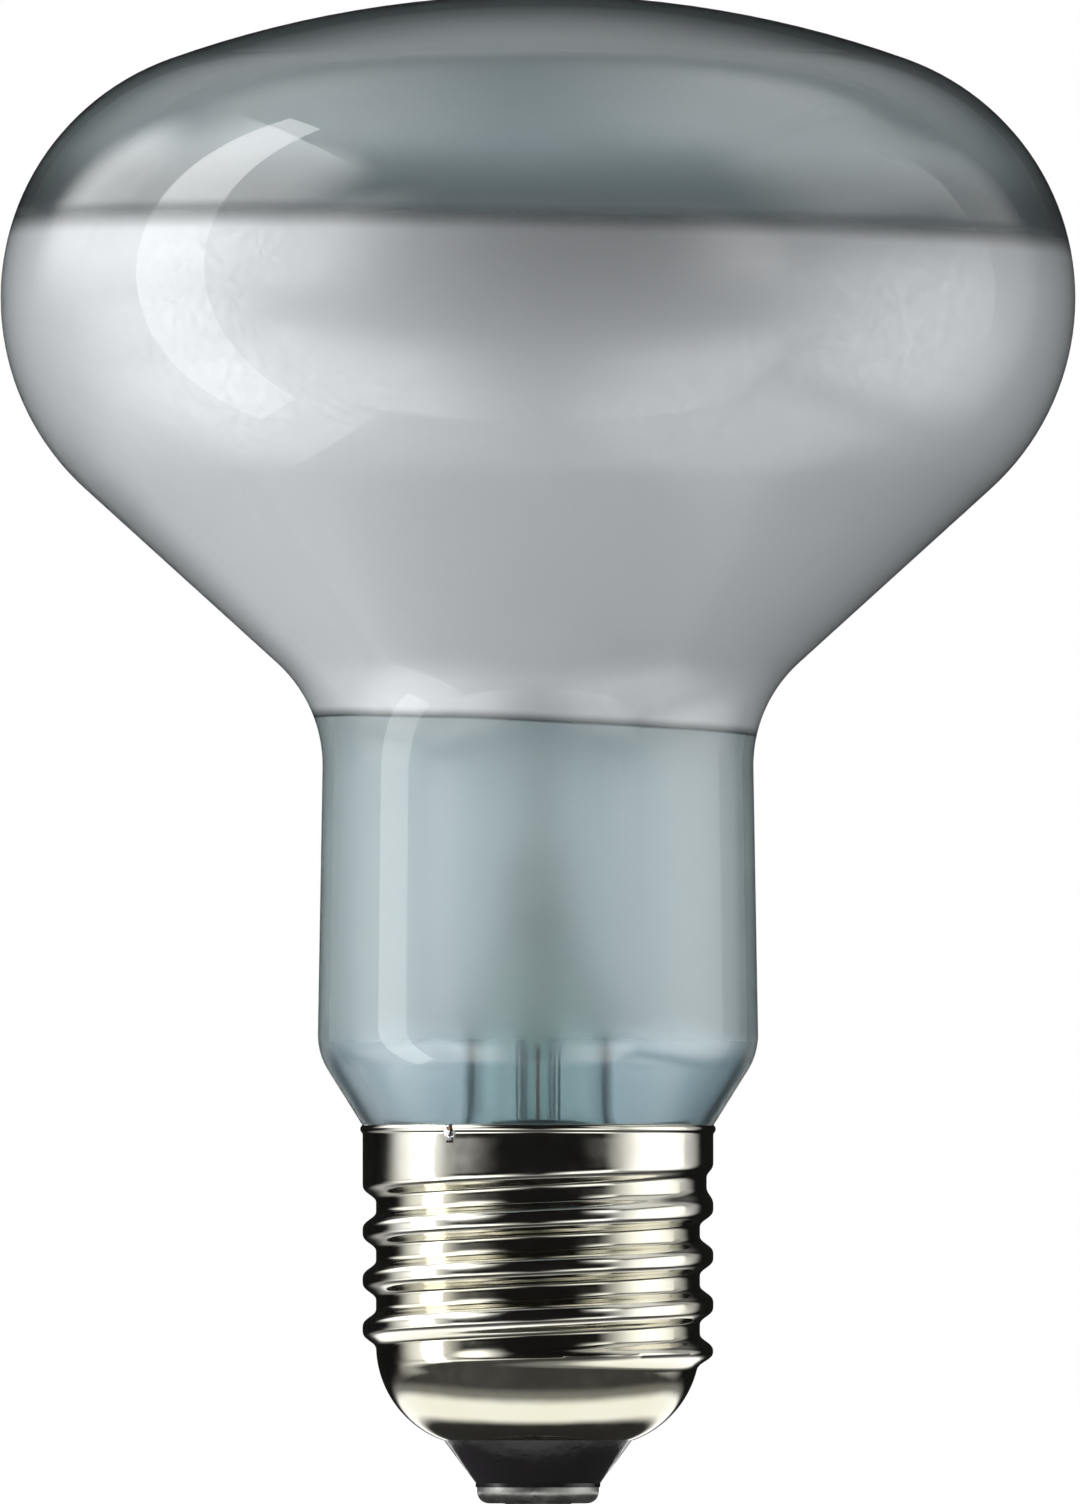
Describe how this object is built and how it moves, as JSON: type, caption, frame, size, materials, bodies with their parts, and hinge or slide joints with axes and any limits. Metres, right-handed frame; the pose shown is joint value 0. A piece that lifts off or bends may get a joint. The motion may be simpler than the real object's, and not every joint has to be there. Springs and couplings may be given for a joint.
{
  "type": "reflector bulb",
  "caption": "Mushroom-shaped reflector lamp with a frosted domed face, silvered reflector, clear-footed neck and a nickel screw cap.",
  "frame": {"origin": "tip of the centre contact, on the lamp axis", "axes": "+Z along the lamp axis from the cap to the face, +X to the right and -Y towards the viewer of the picture"},
  "size_m": [0.08, 0.08, 0.1128],
  "materials": {
    "bulb_glass": "smooth outside, frosted inside",
    "mirror_film": "satin metal film seen through the glass",
    "stem_glass": "clear",
    "tungsten": "dull grey coiled wire",
    "support_wire": "drawn wire",
    "nickel_lead": "drawn nickel wire",
    "copper_wire": "drawn copper wire",
    "fuse_wire": "drawn copper-nickel wire",
    "nickel_plate": "bright nickel plate on rolled sheet",
    "black_glass": "glossy black pressed glass",
    "contact_metal": "plated stamped disc",
    "solder": "satin solder",
    "cement": "matt cement"
  },
  "bodies": {
    "root": {"bulb_envelope": "bulb_glass", "reflector_coating": "mirror_film", "stem_flare": "stem_glass", "exhaust_tube": "stem_glass", "arbor_rod": "stem_glass", "filament": "tungsten", "support_wire_front": "support_wire", "support_wire_middle": "support_wire", "support_wire_rear": "support_wire", "inner_lead_front": "nickel_lead", "inner_lead_rear": "nickel_lead", "seal_wire_front": "copper_wire", "seal_wire_rear": "copper_wire", "fuse_link": "fuse_wire", "outer_lead_centre": "copper_wire", "outer_lead_side": "copper_wire", "cap_shell": "nickel_plate", "cap_insulator": "black_glass", "contact_plate": "contact_metal", "centre_solder": "solder", "side_solder": "solder", "basing_cement": "cement"}
  },
  "joints": []
}
